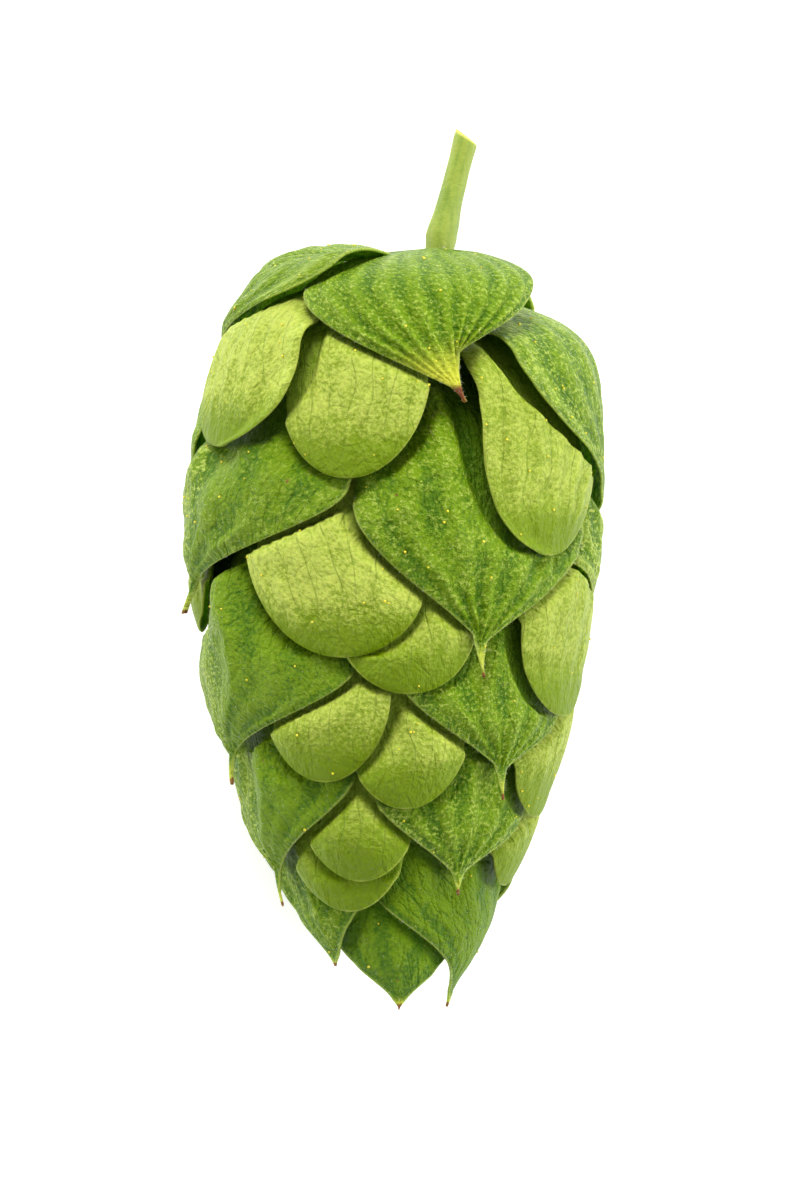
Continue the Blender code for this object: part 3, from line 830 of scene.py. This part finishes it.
def bracteole_finish(settings):
    """Yellow-green and papery above, greener at its bulge, with a fan of veins joined by a net; the paler
    top and darker bulge are partly painted light from above, with a faint painted highlight on its ribs and
    painted shade beneath covering scales.
    """
    finish = leaf_finish("bracteole_leaf")
    ease, blend, noise = finish.ease, finish.blend, finish.noise
    leaf = finish.attribute("leaf", "Vector")
    fan, rim, bare, bloom, rib, to_tip = finish.masks("fan rim bare bloom rib to_tip")
    grain = noise(leaf, 4.8, detail=3.0, rough=0.7)
    mottle = noise(leaf, 0.8, detail=2.0)
    warp = noise(finish.stretched(leaf, (0.4, 0.22, 1.0)), 1.0, detail=1.0)
    ray = finish.add("ShaderNodeMath", {"operation": "SINE"}, {0: fan * 12.0 + warp * 6.0})
    ray = finish.add("ShaderNodeMath", {"operation": "ABSOLUTE"}, {0: ray})
    net = finish.net(finish.stretched(leaf, (1.0, 0.6, 1.0)), 1.2)
    # The upper part, away from the tip, is paler partly in its own colour and partly as painted light from
    # above; the bulge near the tip is darker partly as painted shade.
    upper = ease(to_tip, 0.0, 3.8)
    vein = ease(ray, 0.13, 0.0) * (0.25 + upper * 0.45) + ease(net, 0.08, 0.0) * 0.45
    vein = vein * (0.2 + mottle * 1.0)

    pale = upper * 0.6 + ease(mottle, 0.32, 0.7) * 0.3 + (ease(grain, 0.38, 0.66) - 0.5) * 0.55
    # The ribs get a faint painted highlight.
    pale = pale * (0.35 + bloom * 1.1) * (0.3 + upper * 0.7) + rib * 0.08
    colour = blend(ease(pale, 0.05, 0.95), settings.bracteole_green, settings.bracteole_pale)
    colour = blend(ease(vein, 0.05, 0.8) * 0.5, colour, settings.bracteole_vein_and_shade)
    colour = blend(ease(rim, 0.16, 0.02) * 0.5, colour, settings.bracteole_pale)
    speck = ease(noise(leaf, 1.9, detail=1.0), 0.79, 0.84)
    colour = blend(speck * 0.5, colour, settings.tip_brown)
    # Painted shade: a bracteole darkens where the scales outside it cover it.
    colour = blend(ease(bare, 0.5, 0.0) * 0.55, colour, settings.bracteole_vein_and_shade)
    roughness = 0.36 + grain * 0.2
    crinkle = noise(finish.stretched(leaf, (1.6, 0.8, 1.0)), 1.5, detail=2.0, rough=0.6)
    height = grain * 0.6 - vein * 0.4 + mottle * 0.3 + crinkle * 1.2
    return finish.finish(colour, roughness, height, 0.26)


def stem_finish(settings):
    """Yellow-green with faint ribs and painted shade between them, a neck paler with fine hairs and a yellow
    cut end.
    """
    finish = Finish("stem_skin", Subsurface_Weight=0.15, Subsurface_Scale=0.5 * MM, Sheen_Weight=0.2)
    places, rib, cut = finish.places(), finish.attribute("rib"), finish.attribute("cut")
    grain = finish.noise(places, 4200.0, detail=3.0)
    mottle = finish.noise(finish.stretched(places, (1.0, 0.35, 1.0)), 1100.0, detail=2.0)
    # Painted shade darkens the stem between its ribs; the mottle and grain are its own uneven tone.
    shade = finish.ease(rib, 0.7, 0.0) * 0.3 + finish.ease(mottle, 0.6, 0.35) * 0.6 + (grain - 0.5) * 0.5
    colour = finish.blend(finish.ease(shade, 0.0, 1.0), settings.green, settings.dark)
    colour = finish.blend(finish.ease(cut, 0.2, 0.8), colour, settings.cut)
    return finish.finish(colour, 0.5 + grain * 0.2, grain + mottle * 0.5, 0.06)


def plain_finish(name, colour, roughness, grain_scale, **settings):
    """One colour, slightly uneven, for very small things."""
    finish = Finish(name, **settings)
    grain = finish.noise(finish.places(), grain_scale, detail=1.0)
    darker = tuple(0.72 * value for value in colour)
    shade = finish.blend(finish.ease(grain, 0.35, 0.65), darker, tuple(colour))
    return finish.finish(shade, roughness + grain * 0.1, grain, 0.02)


# -------- pieces


def keep_piece(piece, slot=None, *nodes):
    """Put a finished piece on its body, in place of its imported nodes."""
    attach(piece, BODY)
    if nodes:
        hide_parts(*nodes)


def new_object(name, mesh):
    """An object at the origin, in the scene."""
    made = bpy.data.objects.new(name, mesh)
    bpy.context.scene.collection.objects.link(made)
    return made


def grow_scales(scales, default, material, settings, slot):
    """Grow each scale on its fine grid, give it its wall and its finish."""
    for scale in scales:
        relief = default._replace(**RELIEFS.get(scale.name, {}))
        points, fields, leaf = scale_surface(scale, relief, settings.cell / MM)
        piece = new_object(f"{scale.name}_leaf", grid_mesh(scale.name, points, fields, leaf))
        piece.data.materials.append(material)
        piece.data.shade_smooth()
        rests_in_frame(piece, scale.name, 1.5 * MM)
        wall = piece.modifiers.new("wall", "SOLIDIFY")
        wall.thickness = settings.wall
        wall.offset = -1.0
        wall.use_rim = True
        keep_piece(piece, slot, scale.name)


class HOP_OT_bracts(bpy.types.Operator):
    """Grow the bracts, the pointed green scales"""

    bl_idname = "hop_cone.bracts"
    bl_label = "Bracts"

    def execute(self, context):
        settings = context.scene.hop_scales
        grow_scales(BRACTS, PLAIN_BRACT, bract_finish(settings), settings, "bract")
        return {"FINISHED"}


class HOP_OT_bracteoles(bpy.types.Operator):
    """Grow the bracteoles, the rounded yellow-green scales"""

    bl_idname = "hop_cone.bracteoles"
    bl_label = "Bracteoles"

    def execute(self, context):
        settings = context.scene.hop_scales
        grow_scales(BRACTEOLES, PLAIN_BRACTEOLE, bracteole_finish(settings), settings, "bracteole")
        return {"FINISHED"}


def stem_mesh():
    """The stem from its slanting cut to the inner end of the zigzag axis, closed at both ends."""
    drops = np.linspace(STEM_CUT_DROP, STRIG_END_DROP, STEM_ROWS)[:, None]
    angles = np.linspace(0.0, 2.0 * math.pi, STEM_SIDES, endpoint=False)[None, :]
    inside, outside = smooth_step(drops / STRIG_END_DROP), smooth_step(drops / STEM_CUT_DROP)
    radius = STEM_NECK_RADIUS + (STEM_CUT_RADIUS - STEM_NECK_RADIUS) * outside
    radius = radius + (STRIG_END_RADIUS - STEM_NECK_RADIUS) * inside
    radius = radius + STEM_FLARE * np.exp(-(((drops + STEM_FLARE_ABOVE) / STEM_FLARE_RUN) ** 2))
    sway = STEM_RIB_SWAY * np.sin(STEM_RIB_SWAY_RATE * drops)
    rib = 0.5 + 0.5 * np.cos(STEM_RIBS * (angles + STEM_TWIST * drops) + sway)
    round_it = STEM_BUMPS_ROUND * np.cos(angles) + STEM_BUMPS_START
    along_it = STEM_BUMPS_ALONG * drops + STEM_BUMPS_SWIRL * np.sin(angles)
    radius = radius - STEM_RIB_HEIGHT * (1.0 - rib)
    radius = radius + STEM_BUMP_HEIGHT * soft_noise(round_it, along_it, STEM_BUMPS_SEED)
    to_cut = drops - STEM_CUT_DROP
    radius = radius * (1.0 - STEM_CUT_NARROWING * np.exp(-to_cut / STEM_CUT_ROUND))
    swing = np.cos(2.0 * math.pi * drops / ZIGZAG_PITCH) * smooth_step(drops / ZIGZAG_START)
    slant = STEM_CUT_SLANT * np.cos(angles) * np.exp(-to_cut / STEM_SLANT_RUN)
    x = stem_shift(drops) + radius * np.cos(angles)
    y = SHOULDER_Y - drops - slant
    z = AXIS_HEIGHT + ZIGZAG_SWING * swing + radius * np.sin(angles)
    rings = np.stack([x, y + 0.0 * x, z], axis=-1) * MM
    hollow = STEM_CUT_RIM * rings[0] + (1.0 - STEM_CUT_RIM) * rings[0].mean(axis=0)
    hollow[:, 1] -= STEM_CUT_DEPTH * MM
    ends = [hollow.mean(axis=0, keepdims=True), rings[-1].mean(axis=0, keepdims=True)]
    points = np.concatenate([hollow, rings.reshape(-1, 3), *ends]).tolist()
    first = (np.arange(STEM_ROWS)[:, None] * STEM_SIDES + np.arange(STEM_SIDES)[None, :]).ravel()
    beside = np.where(first % STEM_SIDES == STEM_SIDES - 1, first + 1 - STEM_SIDES, first + 1)
    faces = np.stack([first, beside, beside + STEM_SIDES, first + STEM_SIDES], axis=-1).tolist()
    last = STEM_ROWS * STEM_SIDES
    for index in range(STEM_SIDES):
        after = (index + 1) % STEM_SIDES
        faces.append([len(points) - 2, after, index])
        faces.append([len(points) - 1, last + index, last + after])
    cut = np.exp(-to_cut / STEM_CUT_MASK) * np.ones_like(x)
    masks = {
        "rib": [0.5] * STEM_SIDES + rib.ravel().tolist() + [0.5, 0.5],
        "cut": [1.0] * STEM_SIDES + cut.ravel().tolist() + [1.0, 0.0],
    }
    return make_mesh("stem_skin", points, faces, masks)


class HOP_OT_stem(bpy.types.Operator):
    """Make the cut stem with its ribs"""

    bl_idname = "hop_cone.stem"
    bl_label = "Stem"

    def execute(self, context):
        piece = new_object("stem_ribbed", stem_mesh())
        piece.data.materials.append(stem_finish(context.scene.hop_stem))
        piece.data.shade_smooth()
        rests_in_frame(piece, "stem", 1.0 * MM)
        keep_piece(piece, "stem", "stem")
        return {"FINISHED"}


def bare_surface(names, name):
    """One mesh of the outer faces of the named scales, with the attributes that scattering reads."""
    points, faces, fields, first = [], [], {"bare": [], "rim": []}, 0
    for scale_name in names:
        mesh = bpy.data.objects[f"{scale_name}_leaf"].data
        points += [vertex.co[:] for vertex in mesh.vertices]
        faces += [[first + index for index in polygon.vertices] for polygon in mesh.polygons]
        first = len(points)
        for field, values in fields.items():
            values += [item.value for item in mesh.attributes[field].data]
    pressed = [point[2] < PRESSED_HEIGHT * MM for point in points]
    fields["bare"] = [0.0 if flat else value for flat, value in zip(pressed, fields["bare"])]
    return make_mesh(name, points, faces, fields)


def scatter_tree(name, shape, shape_sockets, material):
    """A node tree that scatters a small shape over the bare part of a surface.

    Its inputs are the count for each square metre, the widest distance from a rim, the smallest
    size, how far each copy leans and is lifted off the surface, and the seed of the random draws.
    """
    tree = bpy.data.node_groups.new(name, "GeometryNodeTree")
    tree.interface.new_socket("Geometry", in_out="INPUT", socket_type="NodeSocketGeometry")
    tree.interface.new_socket("Geometry", in_out="OUTPUT", socket_type="NodeSocketGeometry")
    for label in ("Density", "Rim Reach", "Least Size", "Lean", "Lift"):
        tree.interface.new_socket(label, in_out="INPUT", socket_type="NodeSocketFloat")
    tree.interface.new_socket("Seed", in_out="INPUT", socket_type="NodeSocketInt")
    given = tree.nodes.new("NodeGroupInput").outputs
    result = tree.nodes.new("NodeGroupOutput")

    def add(kind, settings, sockets, output=0):
        node = tree.nodes.new(kind)
        for key, value in settings.items():
            setattr(node, key, value)
        for key, value in sockets.items():
            if isinstance(value, bpy.types.NodeSocket):
                tree.links.new(value, node.inputs[key])
            else:
                node.inputs[key].default_value = value
        return node.outputs[output]

    def compare(field, operation, limit):
        value = add("GeometryNodeInputNamedAttribute", {"data_type": "FLOAT"}, {"Name": field})
        return add("FunctionNodeCompare", {"operation": operation}, {0: value, 1: limit})

    def random(data_type, sockets, output=0):
        sockets["Seed"] = given["Seed"]
        return add("FunctionNodeRandomValue", {"data_type": data_type}, sockets, output)

    def vectors(operation, sockets):
        return add("ShaderNodeVectorMath", {"operation": operation}, sockets)

    bare = compare("bare", "GREATER_THAN", LEAST_BARE)
    near = compare("rim", "LESS_THAN", given["Rim Reach"])
    both = add("FunctionNodeBooleanMath", {"operation": "AND"}, {0: bare, 1: near})
    sockets = {"Mesh": given["Geometry"], "Selection": both, "Density": given["Density"]}
    sockets["Seed"] = given["Seed"]
    points = add("GeometryNodeDistributePointsOnFaces", {"distribute_method": "RANDOM"}, sockets)
    lean = random("FLOAT_VECTOR", {0: (-1.0, -1.0, -1.0), 1: (1.0, 1.0, 1.0)})
    leaning = vectors("SCALE", {0: lean, "Scale": given["Lean"]})
    upright = vectors("ADD", {0: points.node.outputs["Normal"], 1: leaning})
    aim = add("FunctionNodeAlignRotationToVector", {"axis": "Z"}, {"Vector": upright})
    size = random("FLOAT", {2: given["Least Size"], 3: 1.0}, 1)
    raised = add("ShaderNodeCombineXYZ", {}, {"Z": given["Lift"]})
    grown = add(shape, {}, shape_sockets)
    lifted = add("GeometryNodeTransform", {}, {"Geometry": grown, "Translation": raised})
    sockets = {"Points": points, "Instance": lifted, "Rotation": aim, "Scale": size}
    copies = add("GeometryNodeInstanceOnPoints", {}, sockets)
    real = add("GeometryNodeRealizeInstances", {}, {"Geometry": copies})
    coloured = add("GeometryNodeSetMaterial", {}, {"Geometry": real, "Material": material})
    tree.links.new(coloured, result.inputs[0])
    return tree


def scatter(name, surface, tree, inputs):
    """Run a scattering tree on a surface and keep its result as a plain piece."""
    ground = new_object(f"{name}_ground", surface)
    modifier = ground.modifiers.new("scatter", "NODES")
    modifier.node_group = tree
    for item in tree.interface.items_tree:
        if item.in_out == "INPUT" and item.name in inputs:
            modifier[item.identifier] = inputs[item.name]
    evaluated = ground.evaluated_get(bpy.context.evaluated_depsgraph_get())
    mesh = bpy.data.meshes.new_from_object(evaluated)
    mesh.name = name
    bpy.data.objects.remove(ground)
    if not mesh.polygons:
        raise RuntimeError(f"{name} came out empty")
    mesh.shade_smooth()
    keep_piece(new_object(name, mesh))


class HOP_OT_resin(bpy.types.Operator):
    """Scatter the resin glands over the scales"""

    bl_idname = "hop_cone.resin"
    bl_label = "Resin glands"

    def execute(self, context):
        settings = context.scene.hop_trim
        material = plain_finish(
            "resin", settings.gland_colour, 0.22, 9000.0, Subsurface_Weight=0.2, Subsurface_Scale=0.2 * MM
        )
        ball = {"Radius": settings.gland, "Subdivisions": 2}
        tree = scatter_tree("resin_scatter", "GeometryNodeMeshIcoSphere", ball, material)
        surface = bare_surface([scale.name for scale in LAYERS], "resin_ground")
        inputs = {"Density": settings.gland_spacing**-2, "Rim Reach": WHOLE_FACE, "Least Size": 0.55}
        inputs.update({"Lean": 0.0, "Lift": 0.35 * settings.gland, "Seed": 11})
        scatter("resin_glands", surface, tree, inputs)
        return {"FINISHED"}


class HOP_OT_hairs(bpy.types.Operator):
    """Scatter the fine hairs along the bracts' rims and over their faces"""

    bl_idname = "hop_cone.hairs"
    bl_label = "Hairs"

    def execute(self, context):
        settings = context.scene.hop_trim
        material = plain_finish("hair", settings.hair_colour, 0.4, 3000.0, Subsurface_Weight=0.3)
        names = [scale.name for scale in BRACTS]
        for name, length, spacing, rim_reach, lean, seed in HAIRS:
            spike = {"Vertices": 3, "Side Segments": 1, "Radius Top": 0.0}
            spike.update({"Radius Bottom": settings.hair_radius, "Depth": settings.hair * length})
            tree = scatter_tree(f"{name}_scatter", "GeometryNodeMeshCone", spike, material)
            inputs = {"Density": (spacing * MM) ** -2, "Rim Reach": rim_reach, "Least Size": 0.4}
            inputs.update({"Lean": lean, "Lift": 0.0, "Seed": seed})
            scatter(name, bare_surface(names, f"{name}_ground"), tree, inputs)
        return {"FINISHED"}


# -------- stage


def add_light(name, position, target, size, power, colour):
    """A soft square light aimed at the cone, itself out of sight."""
    data = bpy.data.lights.new(name, "AREA")
    data.shape = "SQUARE"
    data.size = size
    data.energy = power
    data.color = colour
    light = new_object(name, data)
    light.location = position
    light.rotation_euler = (target - light.location).to_track_quat("-Z", "Y").to_euler()
    light.visible_camera = False


class HOP_OT_stage(bpy.types.Operator):
    """Set the pale floor, the soft light and the camera"""

    bl_idname = "hop_cone.stage"
    bl_label = "Stage"

    def execute(self, context):
        settings = context.scene.hop_stage
        middle = (cad_low + cad_high) / 2.0
        finish = Finish("floor", Specular_IOR_Level=0.1, Emission_Color=WHITE, Emission_Strength=FLOOR_GLOW)
        cloud = finish.noise(finish.places(), 8.0)
        pale = tuple(settings.floor_colour)
        colour = finish.blend(cloud, pale, tuple(0.995 * value for value in pale))
        material = finish.finish(colour, 0.8, cloud, 0.0)
        corners = [(-FLOOR_HALF, -FLOOR_HALF), (FLOOR_HALF, -FLOOR_HALF)]
        corners += [(FLOOR_HALF, FLOOR_HALF), (-FLOOR_HALF, FLOOR_HALF)]
        mesh = make_mesh("floor", [(x, y, -FLOOR_DROP * MM) for x, y in corners], [(0, 1, 2, 3)], {})
        mesh.materials.append(material)
        new_object("floor", mesh)

        world = bpy.data.worlds.new("studio")
        world.use_nodes = True
        sky = world.node_tree.nodes["Background"].inputs
        sky["Color"].default_value, sky["Strength"].default_value = WHITE, SKY_STRENGTH
        context.scene.world = world
        for name, position, size, power, colour in LIGHTS:
            add_light(name, position, middle, size, power, colour)

        data = bpy.data.cameras.new("camera")
        data.lens = SENSOR * settings.camera_distance / settings.view_height
        data.sensor_width = SENSOR
        data.sensor_fit = "AUTO"
        data.clip_start = 0.01
        data.clip_end = 10.0
        camera = new_object("camera", data)
        camera.location = middle
        camera.location.x += CAMERA_RIGHT * MM
        camera.location.y -= CAMERA_TOWARDS_TIP * MM
        camera.location.z += settings.camera_distance
        context.scene.camera = camera
        context.scene.view_settings.view_transform = "Standard"
        return {"FINISHED"}


class HOP_PT_panel(bpy.types.Panel):
    """The hop cone's pieces and settings in the sidebar"""

    bl_idname = "HOP_PT_panel"
    bl_label = "Hop cone"
    bl_space_type = "VIEW_3D"
    bl_region_type = "UI"
    bl_category = "Hop cone"

    def draw(self, context):
        for group in SETTINGS:
            box = self.layout.box()
            settings = getattr(context.scene, group)
            for name in settings.bl_rna.properties.keys():
                if name not in {"rna_type", "name"}:
                    box.prop(settings, name)
        for operator in OPERATORS:
            self.layout.operator(operator.bl_idname)


SETTINGS = {
    "hop_scales": HopScaleSettings,
    "hop_stem": HopStemSettings,
    "hop_trim": HopTrimSettings,
    "hop_stage": HopStageSettings,
}
OPERATORS = (HOP_OT_bracts, HOP_OT_bracteoles, HOP_OT_stem, HOP_OT_resin, HOP_OT_hairs, HOP_OT_stage)


def register():
    """Register the settings, the operators and the panel."""
    for made in (*SETTINGS.values(), *OPERATORS, HOP_PT_panel):
        bpy.utils.register_class(made)
    for name, group in SETTINGS.items():
        setattr(bpy.types.Scene, name, bpy.props.PointerProperty(type=group))


def unregister():
    """Take them all out again."""
    for name in SETTINGS:
        delattr(bpy.types.Scene, name)
    for made in (HOP_PT_panel, *reversed(OPERATORS), *reversed(SETTINGS.values())):
        bpy.utils.unregister_class(made)


def main():
    """Build every piece and the stage."""
    register()
    bpy.ops.hop_cone.bracts()
    bpy.ops.hop_cone.bracteoles()
    bpy.ops.hop_cone.stem()
    bpy.ops.hop_cone.resin()
    bpy.ops.hop_cone.hairs()
    bpy.ops.hop_cone.stage()


if __name__ == "__main__":
    main()
